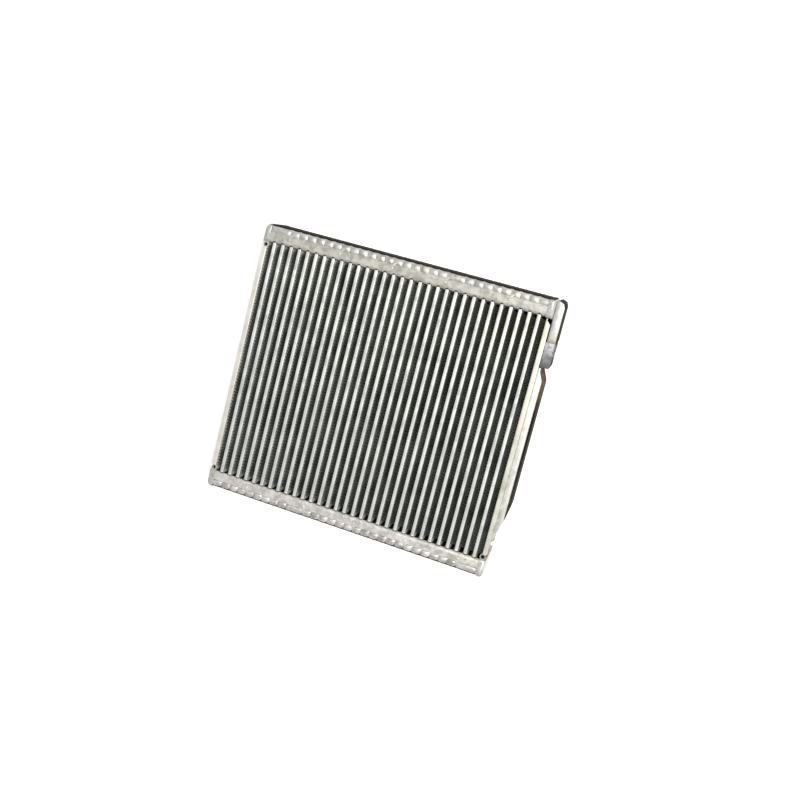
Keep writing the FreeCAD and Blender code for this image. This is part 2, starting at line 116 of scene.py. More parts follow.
def close_mesh():
    """Merges doubled corners, turns the faces outwards and leaves the mesh."""
    bpy.ops.mesh.select_all(action="SELECT")
    bpy.ops.mesh.remove_doubles(threshold=DOUBLED)
    bpy.ops.mesh.normals_make_consistent(inside=False)
    bpy.ops.object.mode_set(mode="OBJECT")


def settle():
    """Puts the place, turn and scale of the active piece into its mesh."""
    bpy.ops.object.transform_apply(location=True, rotation=True, scale=True)
    return bpy.context.active_object


def add_block(name, low, high):
    """A block between two corners, ready for shaping."""
    bpy.ops.object.select_all(action="DESELECT")
    bpy.ops.mesh.primitive_cube_add(size=1, location=(low + high) / 2, scale=high - low)
    piece = settle()
    piece.name = name
    return piece


def round_edges(piece, wanted, radius, segments):
    """Bevels the chosen edges of a piece to a radius."""
    open_mesh(piece)
    choose(piece, "EDGE", wanted)
    bpy.ops.mesh.bevel(offset=radius, segments=segments, affect="EDGES")
    bpy.ops.object.mode_set(mode="OBJECT")


def work(piece, kind, **settings):
    """Adds a modifier with its settings and applies it."""
    modifier = piece.modifiers.new(kind, kind)
    for name, value in settings.items():
        setattr(modifier, name, value)
    bpy.context.view_layer.objects.active = piece
    bpy.ops.object.modifier_apply(modifier=modifier.name)


def copy_of(piece, name, placed):
    """Another of the same piece with its own mesh, placed by a matrix."""
    twin = piece.copy()
    twin.data = piece.data.copy()
    twin.data.transform(placed)
    twin.name = name
    bpy.context.collection.objects.link(twin)
    return twin


def smooth(piece, degrees):
    """Shades a piece smooth, apart from edges sharper than an angle."""
    pick(piece)
    bpy.ops.object.shade_smooth_by_angle(angle=math.radians(degrees))


METAL_SHARE = 0.5
GLOSS = 0.12
PATCH_NOISE = (6, 0.8)
PATCH_RANGE = (0.34, 0.60)
ROUGH_RANGE = (0.3, 0.7)
STREAK_NOISE = (0.5 * MM, 4, 0.2)
STREAK_SHARE = 0.45
PIT_NOISE = (1.1 * MM, 2)
PIT_RANGE = (0.68, 0.76)
PIT_SHARE = 0.8
PIT_SHADE = 0.45
DENT_NOISE = (2.4 * MM, 4, 0.4)
DENT_STRENGTH = 0.7
SCRATCH_DEPTH = 0.02 * MM
SCRATCH_STRENGTH = 0.5
# A band of painted dark shade reaches this much further on faces turned to the sides, so it arches.
SHADE_BAND_ROUND = 1.2 * MM
SPOT_CORE = 0.4
SPOT_RANGE = (0.35, 0.60)
# Painted shade with a painted brown reflection: black towards the front face, dark brown elsewhere,
# matt and without metal.
PAINTED_SHADE_BLACK = (0.005, 0.004, 0.003)
PAINTED_SHADE_DARK = (0.026, 0.019, 0.013)
PAINTED_SHADE_BROWN = (0.080, 0.055, 0.035)
PAINTED_SHADE_RANGE = (0.35, 0.65)
PAINTED_SHADE_ROUGH = 0.95
PAINTED_SHADE_EDGE = 0.14
PAINTED_SHADE_END = 0.06 * MM
PAINTED_SHADE_DARKENS = (8 * MM, 40 * MM)


def brazed_aluminium(name, bright, dull, patch=9 * MM, rough=(0.34, 0.56), dents=0.10 * MM,
                     grain=(1, 1, 1), shade_fade=None, shade_band=None, painted_shade=None, painted_shade_below=None,
                     stain_and_reflection=None, shade_spots=None):
    """Aluminium out of the brazing furnace: rolled grain, dull and whitish patches, small pits.
    The colour may darken to the dull one between two places in Y as painted shade, and turn to a
    band of painted dark shade between two. Painted shade, black and dark brown with a painted brown
    reflection, covers the faces that turn its way. It is given by how far they turn before it
    starts and by its way, and may lie below a place in Y only. Stain spots, which are a painted
    reflection on some pieces, and painted shade spots are a colour, its places, its reach and its
    lightest share; with painted shade, the stain spots lie on the shade alone."""
    material = bpy.data.materials.new(name)
    material.use_nodes = True
    nodes = material.node_tree.nodes
    links = material.node_tree.links
    shader = nodes["Principled BSDF"]
    shader.inputs["Metallic"].default_value = METAL_SHARE
    shader.inputs["Specular IOR Level"].default_value = GLOSS
    place = nodes.new("ShaderNodeTexCoord")
    drawn_out = nodes.new("ShaderNodeMapping")
    drawn_out.inputs["Scale"].default_value = grain
    links.new(place.outputs["Object"], drawn_out.inputs["Vector"])

    def noise(size, detail, distortion=0.0, read_at=place.outputs["Object"]):
        """Random light and dark, about as large as a size."""
        texture = nodes.new("ShaderNodeTexNoise")
        texture.inputs["Scale"].default_value = 1 / size
        texture.inputs["Detail"].default_value = detail
        texture.inputs["Distortion"].default_value = distortion
        links.new(read_at, texture.inputs["Vector"])
        return texture.outputs["Fac"]

    def between(value, start, finish, low=0.0, high=1.0):
        """Goes from low to high while a value goes from start to finish."""
        reach = nodes.new("ShaderNodeMapRange")
        for socket, amount in zip(reach.inputs[1:5], (start, finish, low, high)):
            socket.default_value = amount
        links.new(value, reach.inputs["Value"])
        return reach.outputs["Result"]

    def blend(below, above, share, kind="MIX"):
        """Lays a share of one colour over another."""
        mix = nodes.new("ShaderNodeMix")
        mix.data_type = "RGBA"
        mix.blend_type = kind
        for socket, value in (("Factor", share), ("A", below), ("B", above)):
            if isinstance(value, bpy.types.NodeSocket):
                links.new(value, mix.inputs[socket])
            elif socket == "Factor":
                mix.inputs[socket].default_value = value
            else:
                mix.inputs[socket].default_value = (*value, 1)
        return mix.outputs["Result"]

    def along(axis):
        """How far a place lies along an axis."""
        parts = nodes.new("ShaderNodeSeparateXYZ")
        links.new(place.outputs["Object"], parts.inputs["Vector"])
        return parts.outputs[axis]

    def facing(ways):
        """The square of how far a face turns to the ways whose signs along the axes are given."""
        toward = place.outputs["Normal"]
        for operation, amount in (("MULTIPLY", ways), ("MAXIMUM", (0, 0, 0))):
            step = nodes.new("ShaderNodeVectorMath")
            step.operation = operation
            step.inputs[1].default_value = amount
            links.new(toward, step.inputs[0])
            toward = step.outputs["Vector"]
        square = nodes.new("ShaderNodeVectorMath")
        square.operation = "DOT_PRODUCT"
        for socket in square.inputs[:2]:
            links.new(toward, socket)
        return square.outputs["Value"]

    def both(operation, first, second):
        """Makes one value of two."""
        step = nodes.new("ShaderNodeMath")
        step.operation = operation
        for socket, value in zip(step.inputs[:2], (first, second)):
            links.new(value, socket)
        return step.outputs["Value"]

    patches = noise(patch, *PATCH_NOISE)
    streaks = noise(*STREAK_NOISE, read_at=drawn_out.outputs["Vector"])
    pits = noise(*PIT_NOISE)
    colour = blend(dull, bright, between(patches, *PATCH_RANGE))
    colour = blend(colour, streaks, STREAK_SHARE, "SOFT_LIGHT")
    pit_colour = [PIT_SHADE * part for part in dull]
    colour = blend(colour, pit_colour, between(pits, *PIT_RANGE, 0, PIT_SHARE))
    roughness = between(patches, *ROUGH_RANGE, *rough)
    # Painted shade: darker towards one place in Y.
    if shade_fade:
        colour = blend(colour, dull, between(along("Y"), *shade_fade))
    # A band of painted dark shade between two places in Y, arched round the sides.
    if shade_band:
        sides = both("ADD", facing((1, 0, 0)), facing((-1, 0, 0)))
        rounded = both("ADD", along("Y"), between(sides, 0, 1, 0, SHADE_BAND_ROUND))
        colour = blend(colour, PAINTED_SHADE_DARK, between(rounded, *shade_band))

    def spotted(below, tint, centres, reach, lightest):
        """A colour under spots of stain, painted shade and painted reflection, strongest at their own
        places.
        """
        for centre in centres:
            away = nodes.new("ShaderNodeVectorMath")
            away.operation = "DISTANCE"
            away.inputs[1].default_value = centre
            links.new(place.outputs["Object"], away.inputs[0])
            share = both("MULTIPLY", between(away.outputs["Value"], reach, SPOT_CORE * reach),
                         between(patches, *SPOT_RANGE, lightest, 1))
            below = blend(below, tint, share)
        return below

    # Painted shade on the faces that turn its way, with its metal sheen taken away.
    if painted_shade:
        start, way = painted_shade
        shaded = between(facing(way), start ** 2, (start + PAINTED_SHADE_EDGE) ** 2)
        if painted_shade_below is not None:
            not_above = between(along("Y"), painted_shade_below + PAINTED_SHADE_END, painted_shade_below)
            shaded = both("MULTIPLY", shaded, not_above)
        shade_colour = blend(PAINTED_SHADE_DARK, PAINTED_SHADE_BROWN, between(patches, *PAINTED_SHADE_RANGE))
        shade_colour = blend(shade_colour, PAINTED_SHADE_BLACK, between(along("Z"), *PAINTED_SHADE_DARKENS))
        if stain_and_reflection:
            shade_colour = spotted(shade_colour, *stain_and_reflection)
        colour = blend(colour, shade_colour, shaded)
        links.new(between(shaded, 0, 1, METAL_SHARE, 0), shader.inputs["Metallic"])
        roughness = both("MAXIMUM", roughness, between(shaded, 0, 1, 0, PAINTED_SHADE_ROUGH))
    elif stain_and_reflection:
        colour = spotted(colour, *stain_and_reflection)
    if shade_spots:
        colour = spotted(colour, *shade_spots)
    links.new(colour, shader.inputs["Base Color"])
    links.new(roughness, shader.inputs["Roughness"])

    bumps = nodes.new("ShaderNodeBump")
    bumps.inputs["Distance"].default_value = dents
    bumps.inputs["Strength"].default_value = DENT_STRENGTH
    links.new(noise(*DENT_NOISE), bumps.inputs["Height"])
    scratches = nodes.new("ShaderNodeBump")
    scratches.inputs["Distance"].default_value = SCRATCH_DEPTH
    scratches.inputs["Strength"].default_value = SCRATCH_STRENGTH
    links.new(streaks, scratches.inputs["Height"])
    links.new(bumps.outputs["Normal"], scratches.inputs["Normal"])
    links.new(scratches.outputs["Normal"], shader.inputs["Normal"])
    return material


def coat(piece, material):
    """Gives a piece its one material."""
    piece.data.materials.clear()
    piece.data.materials.append(material)


def dress(piece, name, material, slot, *nodes_replaced):
    """Names a finished piece, gives it its material and its body, and hides its CAD nodes. Its slot is
    not used.
    """
    piece.name = name
    piece.data.name = name
    coat(piece, material)
    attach(piece, "root")
    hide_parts(*nodes_replaced)


def across_tube(side):
    """A test for the edges that run along a tube's nose, at its front or its back."""
    return lambda middle, way: (abs(way.y) > STRAIGHT
                                and side * (middle.z - MIDDLE_Z) > NOSE_FROM * TUBE_SIZE.z)


tube_finish = brazed_aluminium("brazed_tube", TUBE_BRIGHT, TUBE_DULL, patch=14 * MM, dents=0.05 * MM,
                               grain=(1, 0.08, 1), shade_fade=TUBE_SHADE_FADE, shade_band=TUBE_SHADE_BAND)
tube_model = add_block("tube_model", tube_low, tube_high)
for side in (-1, 1):
    round_edges(tube_model, across_tube(side), NOSE_SHARE * TUBE_SIZE.x / 2, NOSE_SEGMENTS)
open_mesh(tube_model)
for side in (-1, 1):
    split_at((0, 0, MIDDLE_Z + side * TUBE_WEB / 2), (0, 0, 1))
for side in (-1, 1):
    choose(tube_model, "FACE", lambda middle, normal: abs(normal.y) > STRAIGHT
           and side * (middle.z - MIDDLE_Z) > TUBE_WEB)
    bpy.ops.mesh.inset(thickness=TUBE_WALL)
    bpy.ops.mesh.bridge_edge_loops()
close_mesh()
smooth(tube_model, TUBE_SMOOTH)
for number in range(TUBE_COUNT):
    name = "flat_tube_%02d" % (number + 1)
    shift = Matrix.Translation((number * TUBE_PITCH, 0, 0))
    dress(copy_of(tube_model, name, shift), "tube_%02d" % (number + 1), tube_finish,
          "tube_aluminium", name)
bpy.data.objects.remove(tube_model)

# Fins. Thin strip is folded to and fro, with louvres cut and turned in every leg. It fills
# the gaps between the tubes and beside the side plates, and its folds are brazed to them.
FIN_STRIP = 0.1 * MM
FIN_LEG_PITCH = 1.404 * MM
FIN_CREST = 0.4 * MM
FIN_LAND = 2.2 * MM
FIN_MIDDLE_LAND = 3.0 * MM
FIN_MERGE = 0.01 * MM
LEG_FACING = 0.5
LOUVRES_PER_BANK = 3
LOUVRE_TURN = math.radians(30)
LOUVRE_NEAR = 0.4 * MM
# The fins' greenish tint is their own; their darkness is painted shade of the deep gaps between the
# tubes.
FIN_SHADED_BRIGHT = (0.225, 0.245, 0.20)
FIN_SHADED_DULL = (0.10, 0.115, 0.09)
FIN_STAIN = ((0.13, 0.12, 0.065), [Vector((90, 96, 39)) * MM], 40 * MM, 0.4)
PASS_NODES = ("fins_left_pass", "fins_middle_pass", "fins_right_pass")

fin_low, fin_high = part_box("fins_left_pass")
FIN_DEPTH = fin_high.z - fin_low.z
FIN_LEGS = 2 * round((fin_high.y - fin_low.y) / FIN_LEG_PITCH / 2)
FIN_HALF = (TUBE_PITCH - TUBE_SIZE.x - FIN_STRIP) / 2

fin_finish = brazed_aluminium("brazed_fin", FIN_SHADED_BRIGHT, FIN_SHADED_DULL, patch=24 * MM, dents=0.02 * MM,
                              stain_and_reflection=FIN_STAIN)
fin_x = fin_low.x + (TUBE_PITCH - TUBE_SIZE.x) / 2
leg_pitch = (fin_high.y - fin_low.y - FIN_CREST) / FIN_LEGS
leg_rise = leg_pitch - FIN_CREST
bpy.ops.object.select_all(action="DESELECT")
bpy.ops.mesh.primitive_plane_add(size=1, rotation=(math.pi / 2, 0, math.pi / 2))
fold = bpy.context.active_object
fold.scale = (FIN_CREST, FIN_DEPTH, 1)
fold.location = (fin_x - FIN_HALF, fin_low.y + FIN_CREST / 2, MIDDLE_Z)
settle()
bank_edges = []
for side in (-1, 1):
    bank_edges.append(sorted((MIDDLE_Z + side * FIN_MIDDLE_LAND / 2,
                              MIDDLE_Z + side * (FIN_DEPTH / 2 - FIN_LAND))))
open_mesh(fold)
for z in bank_edges[0] + bank_edges[1]:
    split_at((0, 0, z), (0, 0, 1))
choose(fold, "EDGE", lambda middle, way: abs(way.z) > STRAIGHT
       and middle.y > fin_low.y + FIN_CREST / 2)
for step in ((2 * FIN_HALF, leg_rise, 0), (0, FIN_CREST, 0), (-2 * FIN_HALF, leg_rise, 0)):
    bpy.ops.mesh.extrude_edges_move(TRANSFORM_OT_translate={"value": step})


def in_bank(z_range):
    """A test for the faces of the legs between two heights."""
    return lambda middle, normal: (abs(normal.y) > LEG_FACING
                                   and z_range[0] < middle.z < z_range[1])


louvre_middles = []
for z_range in bank_edges:
    choose(fold, "FACE", in_bank(z_range))
    bpy.ops.mesh.split()
    width = (z_range[1] - z_range[0]) / LOUVRES_PER_BANK
    for cut in range(1, LOUVRES_PER_BANK):
        choose(fold, "FACE", in_bank(z_range))
        bpy.ops.mesh.bisect(plane_co=(0, 0, z_range[0] + cut * width), plane_no=(0, 0, 1))
    choose(fold, "FACE", in_bank(z_range))
    bpy.ops.mesh.edge_split(type="EDGE")
    louvre_middles += [z_range[0] + (cut + 0.5) * width for cut in range(LOUVRES_PER_BANK)]
for leg in range(2):
    y = fin_low.y + FIN_CREST + leg_rise / 2 + leg * leg_pitch
    for z in louvre_middles:
        middle = Vector((fin_x, y, z))
        choose(fold, "FACE", lambda place, normal: (place - middle).length < LOUVRE_NEAR)
        turn = LOUVRE_TURN if z > MIDDLE_Z else -LOUVRE_TURN
        bpy.ops.transform.rotate(value=turn, orient_axis="X", center_override=middle)
bpy.ops.object.mode_set(mode="OBJECT")
work(fold, "ARRAY", count=FIN_LEGS // 2, use_relative_offset=False, use_constant_offset=True,
     constant_offset_displace=(0, 2 * leg_pitch, 0), use_merge_vertices=True,
     merge_threshold=FIN_MERGE)
work(fold, "SOLIDIFY", thickness=FIN_STRIP, offset=0)
for gap in range(TUBE_COUNT + 1):
    x = fin_x + gap * TUBE_PITCH
    nodes = [node for node in PASS_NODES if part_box(node)[0].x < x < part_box(node)[1].x]
    shift = Matrix.Translation((gap * TUBE_PITCH, 0, 0))
    dress(copy_of(fold, "fin", shift), "fin_%02d" % (gap + 1), fin_finish, "fin_aluminium", *nodes)
bpy.data.objects.remove(fold)

# Header plates. Each is a tray stamped from plate, with slots for the tubes, and skirts whose
# tabs are bent over the cover. The top one has rolled beads and open slots. In the bottom one
# the braze has pooled in the slots and round the tubes.
HEADER_WALL = 1.5 * MM
HEADER_BEND = 3.0 * MM
HEADER_SEGMENTS = 8
HEADER_SMOOTH = 35
SLOT_CLEARANCE = 0.3 * MM
SLOT_END_CLEARANCE = 0.8 * MM
ARCH_CLEARANCE = 0.55 * MM
ARCH_END_CLEARANCE = 1.25 * MM
BAR_NOSE_SHARE = 0.96
BAR_NOSE_SEGMENTS = 6
FILLET = 0.9 * MM
FILLET_STEPS = ((0, 1), (0.35, 0.25), (0.65, 0))
BRAZE_FILL = 0.5 * MM
BEAD_WIDTH = 1.1 * MM
BEAD_DEPTH = 0.5 * MM
BEAD_FOOT = 0.5 * MM
BEAD_OUTER = 0.8 * MM
BEAD_ROUNDING = 0.9 * MM
BEAD_SEGMENTS = 4
SKIRT_HEIGHT = 7.8 * MM
TAB_SIZE = Vector((3.4, 3.2, 0.8)) * MM
TAB_LEAN = 2.2 * MM
TAB_BEND = 0.7 * MM
TAB_ROUNDING = 0.35 * MM
TAB_SEGMENTS = 3
TAB_ROUND_FROM = 0.3
TAB_VALLEYS = (-13.5, -7.5, -1.5, 4.5, 11.5)
RIB_SHIFT = 0.8 * MM
ROUND_SIDES = 24
PUNCH_PLACE = Vector((-111.72, 105.4, 0)) * MM
PUNCH_RADIUS = 0.9 * MM
PUNCH_DEPTH = 0.7 * MM
LOCK_HEIGHT = 5.6 * MM
LOCK_RADIUS = 1.3 * MM
LOCK_RISE = 0.3
LOCK_SIDES = 20
LOCK_RINGS = 12
FEED_SLOT = (Vector((117.6, -104.5, 23.25)) * MM, Vector((119.3, -100.7, 37.65)) * MM)
HEADER_BRIGHT = (0.65, 0.63, 0.56)
HEADER_DULL = (0.47, 0.455, 0.40)
HEADER_LOW_BRIGHT = (0.76, 0.745, 0.68)
HEADER_LOW_DULL = (0.56, 0.545, 0.49)
# Painted shade on the bottom header's faces turned towards the core and to the right, dark in the gaps
# between the tubes.
HEADER_LOW_PAINTED_SHADE = (0.8, (1, 1, 0))

header_low, header_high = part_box("top_header_plate")
HEADER_FACE = header_low.y
SKIRT_EDGE = HEADER_FACE + SKIRT_HEIGHT
core_middle = Matrix.Translation((CORE_X, 0, 0))
half_turn = core_middle @ Matrix.Rotation(math.pi, 4, "Z") @ core_middle.inverted()


def tube_bar(name, grow, end_grow, y_low, y_high):
    """A bar with the first tube's outline, grown at its sides and its noses, with round noses."""
    low = Vector((tube_low.x - grow, y_low, tube_low.z - end_grow))
    high = Vector((tube_high.x + grow, y_high, tube_high.z + end_grow))
    bar = add_block(name, low, high)
    for side in (-1, 1):
        round_edges(bar, across_tube(side), BAR_NOSE_SHARE * (TUBE_SIZE.x / 2 + grow),
                    BAR_NOSE_SEGMENTS)
    return bar


def join(pieces, name):
    """Makes one piece of several."""
    bpy.ops.object.select_all(action="DESELECT")
    for piece in pieces:
        piece.select_set(True)
    bpy.context.view_layer.objects.active = pieces[0]
    bpy.ops.object.join()
    pieces[0].name = name
    return pieces[0]


def row_of(piece, name):
    """A piece made at the first tube, repeated at every tube and joined."""
    row = []
    for number in range(TUBE_COUNT):
        row.append(copy_of(piece, name, Matrix.Translation((number * TUBE_PITCH, 0, 0))))
    bpy.data.objects.remove(piece)
    return join(row, name)


def cut_away(piece, cutter):
    """Cuts one piece by another, which is used up."""
    work(piece, "BOOLEAN", object=cutter, operation="DIFFERENCE", solver="EXACT")
    bpy.data.objects.remove(cutter)


header = add_block("header_model", header_low, Vector((header_high.x, SKIRT_EDGE, header_high.z)))
round_edges(header, lambda middle, way: abs(way.x) > STRAIGHT
            and middle.y < HEADER_FACE + HEADER_WALL, HEADER_BEND, HEADER_SEGMENTS)
open_mesh(header)
choose(header, "FACE", lambda middle, normal: normal.y > STRAIGHT)
bpy.ops.mesh.delete(type="FACE")
bpy.ops.object.mode_set(mode="OBJECT")
work(header, "SOLIDIFY", thickness=HEADER_WALL, offset=-1, use_even_offset=True)


def cut_slots(clearance, end_clearance):
    """Cuts the slots of the header plate, as wide and long as their clearance makes them."""
    cutter = tube_bar("slot_cutter", clearance, end_clearance, HEADER_FACE - HEADER_WALL,
                      HEADER_FACE + HEADER_BEND)
    cut_away(header, row_of(cutter, "slot_cutters"))


cut_slots(SLOT_CLEARANCE, SLOT_END_CLEARANCE)
bpy.ops.mesh.primitive_cylinder_add(vertices=ROUND_SIDES, radius=PUNCH_RADIUS, depth=2 * PUNCH_DEPTH,
                                    location=(PUNCH_PLACE.x, PUNCH_PLACE.y, header_high.z))
cut_away(header, settle())


def skirt_tabs(out):
    """The tabs of one header plate, bent over the cover at its front and back. Out is 1 for the
    top plate and -1 for the bottom one. A pressed lock stands on each skirt by each tab."""
    edge = out * SKIRT_EDGE
    made = []
    for front in (-1, 1):
        for valley in TAB_VALLEYS:
            x = CORE_X + out * (valley * TUBE_PITCH + RIB_SHIFT)
            z = header_high.z if front > 0 else header_low.z
            z_range = sorted((z, z - front * TAB_SIZE.z))
            y_range = sorted((edge, edge + out * TAB_SIZE.y))
            tab = add_block("tab", Vector((x - TAB_SIZE.x / 2, y_range[0], z_range[0])),
                            Vector((x + TAB_SIZE.x / 2, y_range[1], z_range[1])))
            open_mesh(tab)
            choose(tab, "VERT", lambda place, normal: out * (place.y - edge) > TAB_SIZE.y / 2)
            bpy.ops.transform.translate(value=(TAB_LEAN, 0, -front * TAB_BEND))
            bpy.ops.object.mode_set(mode="OBJECT")
            round_edges(tab, lambda middle, way: out * (middle.y - edge) > TAB_ROUND_FROM * TAB_SIZE.y,
                        TAB_ROUNDING, TAB_SEGMENTS)
            made.append(tab)
            lock_y = out * (HEADER_FACE + LOCK_HEIGHT)
            bpy.ops.mesh.primitive_uv_sphere_add(
                segments=LOCK_SIDES, ring_count=LOCK_RINGS, radius=LOCK_RADIUS,
                location=(x, lock_y, z), scale=(1, 1, LOCK_RISE))
            made.append(settle())
    return made


fillet = tube_bar("fillet_model", 0, 0, HEADER_FACE - FILLET, HEADER_FACE)
fillet_middle = Vector((tube_low.x + TUBE_SIZE.x / 2, HEADER_FACE, MIDDLE_Z))
open_mesh(fillet)
choose(fillet, "FACE", lambda middle, normal: abs(normal.y) > STRAIGHT)
bpy.ops.mesh.delete(type="FACE")
choose(fillet, "EDGE", lambda middle, way: abs(way.y) < ACROSS
       and middle.y > HEADER_FACE - FILLET / 2)
# Each loop of the fillet's skin has its drop and its reach as shares of the fillet.
reach = 0
for drop, share in FILLET_STEPS:
    before = reach
    reach = share * FILLET
    widened = ((TUBE_SIZE.x + 2 * reach) / (TUBE_SIZE.x + 2 * before), 1,
               (TUBE_SIZE.z + 2 * reach) / (TUBE_SIZE.z + 2 * before))
    bpy.ops.mesh.extrude_edges_move(TRANSFORM_OT_translate={"value": (0, -drop * FILLET, 0)})
    bpy.ops.transform.resize(value=widened, center_override=fillet_middle)
close_mesh()
fillets = row_of(fillet, "fillets")
bottom_header = copy_of(header, "bottom_header", half_turn)
bottom_fillets = [copy_of(fillets, "bottom_fillets", half_turn @ Matrix.Translation((0, recess, 0)))
                  for recess in (0, BRAZE_FILL)]
bpy.data.objects.remove(fillets)
cut_slots(ARCH_CLEARANCE, ARCH_END_CLEARANCE)

beads = []
for side, z in ((-1, header_low.z), (1, header_high.z)):
    z_range = sorted((z - side * BEAD_DEPTH, z - side * HEADER_WALL))
    bead = add_block("bead", Vector((header_low.x, SKIRT_EDGE - BEAD_FOOT, z_range[0])),
                     Vector((header_high.x, SKIRT_EDGE + BEAD_WIDTH, z_range[1])))
    round_edges(bead, lambda middle, way: abs(way.x) > STRAIGHT and middle.y > SKIRT_EDGE
                and side * (z - middle.z) < BEAD_OUTER, BEAD_ROUNDING, BEAD_SEGMENTS)
    beads.append(bead)

top_header_finish = brazed_aluminium(
    "brazed_top_header", HEADER_BRIGHT, HEADER_DULL, patch=6 * MM, dents=0.22 * MM,
    grain=(0.12, 1, 1))
bottom_header_finish = brazed_aluminium(
    "brazed_bottom_header", HEADER_LOW_BRIGHT, HEADER_LOW_DULL, patch=6 * MM, dents=0.22 * MM,
    grain=(0.12, 1, 1), painted_shade=HEADER_LOW_PAINTED_SHADE, painted_shade_below=-HEADER_FACE)
cut_away(bottom_header, add_block("feed_slot", *FEED_SLOT))
bottom_header = join([bottom_header] + bottom_fillets + skirt_tabs(-1), "bottom_header")
top_header = join([header] + beads + skirt_tabs(1), "top_header")
for piece, name, finish, node in (
    (top_header, "top_header", top_header_finish, "top_header_plate"),
    (bottom_header, "bottom_header", bottom_header_finish, "bottom_header_plate"),
):
    smooth(piece, HEADER_SMOOTH)
    dress(piece, name, finish, "header_aluminium", node)

# Tank covers. Each is a trough stamped from sheet that closes a header plate. Ribs run over
# its rounded edges, one over each tube, with smooth stretches over the baffle and at one end.
COVER_WALL = 1.2 * MM
COVER_BEND = 2.8 * MM
COVER_SEGMENTS = 6
COVER_SMOOTH = 60
COVER_FOOT = 1.55 * MM
COVER_TOP = 13.9 * MM
COVER_HALF_DEPTH = 18.95 * MM
RIB_RISE = 1.1 * MM
RIB_FOOT = 8.0 * MM
RIB_FLANKS = ((0.45 * MM, 0.26), (1.1 * MM, 0.56), (2.0 * MM, 0.84), (3.0 * MM, 1.0))
RIB_FOOT_ROWS = ((0.35 * MM, 0.50), (0.8 * MM, 0.86), (1.4 * MM, 1.0))
GROOVE_ENDS = ((0.05 * MM, 0.0), (0.23 * MM, 0.35), (0.60 * MM, 0.7))
ROW_NEAR = 0.02 * MM
FLANK_NEAR = 0.1 * MM
END_NEAR = 0.2 * MM
RIB_MARGIN = 1.0 * MM
SAME = 0.01 * MM
FIRST_RIB, LAST_RIB, BAFFLE_RIB = -13, 15, 5
STRETCH_INTO_CAP = 2.5 * MM
COVER_INTO_CAP = 0.3 * MM
TANK_BRIGHT = (0.64, 0.625, 0.58)
TANK_DULL = (0.44, 0.43, 0.395)
# Painted shade on the covers' faces turned to the right and outwards, and a painted shadow line under
# the bottom skirt's edge.
TANK_PAINTED_SHADE = (0.68, (1, 1, 0))
TANK_LOW_BRIGHT = (0.72, 0.685, 0.64)
TANK_LOW_DULL = (0.42, 0.39, 0.36)
TANK_LOW_PAINTED_SHADE = (0.5, (1, -1, 0))
TANK_LOW_SHADE_BAND = (-110.0 * MM, -109.7 * MM)

cap_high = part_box("top_left_cap")[1]
valleys = [cap_high.x - STRETCH_INTO_CAP]
for number in range(FIRST_RIB, LAST_RIB + 1):
    if number != BAFFLE_RIB + 1:
        valleys.append(CORE_X + (number - 0.5) * TUBE_PITCH + RIB_SHIFT)
valleys.append(2 * CORE_X - valleys[0])


def add_rib(x_low, x_high):
    """One rib of the cover from valley to valley, as an open sheet across the whole tank. It
    swells to its full rise over its foot, and its valleys fill up towards the outer face."""
    low = Vector((x_low, HEADER_FACE + COVER_FOOT, MIDDLE_Z - COVER_HALF_DEPTH))
    high = Vector((x_high, HEADER_FACE + COVER_TOP, MIDDLE_Z + COVER_HALF_DEPTH))
    foot = HEADER_FACE + RIB_FOOT
    sheet = add_block("rib", low, high)
    round_edges(sheet, lambda middle, way: abs(way.x) > STRAIGHT and middle.y > foot, COVER_BEND,
                COVER_SEGMENTS)
    open_mesh(sheet)
    choose(sheet, "FACE", lambda middle, normal: abs(normal.x) > STRAIGHT or normal.y < -STRAIGHT)
    bpy.ops.mesh.delete(type="FACE")
    for run, _ in RIB_FLANKS:
        for x in (x_low + run, x_high - run):
            split_at((x, 0, 0), (1, 0, 0))
    for up in (0,) + tuple(up for up, _ in RIB_FOOT_ROWS):
        split_at((0, foot + up, 0), (0, 1, 0))
    down_to_foot = high.y - foot - RIB_FOOT_ROWS[-1][0] - 2 * ROW_NEAR
    # Each row runs between two heights, and has its shares of the rise and of the groove.
    rows = []
    y_high = high.y + RIB_MARGIN
    for down, groove in GROOVE_ENDS + ((down_to_foot, 1),):
        rows.append((high.y - down, y_high, 1, groove))
        y_high = high.y - down
    rows += [(foot + up - ROW_NEAR, foot + up + ROW_NEAR, share, 1) for up, share in RIB_FOOT_ROWS]
    for y_low, y_high, share, groove in rows:
        for run, rise in ((0, 0),) + RIB_FLANKS:
            choose(sheet, "VERT", lambda place, normal: y_low < place.y < y_high
                   and abs(min(place.x - x_low, x_high - place.x) - run) < FLANK_NEAR)
            bpy.ops.transform.shrink_fatten(value=RIB_RISE * share * (1 - (1 - rise) * groove))
    for x in (x_low, x_high):
        choose(sheet, "VERT", lambda place, normal: abs(place.x - x) < END_NEAR)
        bpy.ops.transform.resize(value=(0, 1, 1), center_override=(x, 0, 0))
    bpy.ops.object.mode_set(mode="OBJECT")
    return sheet


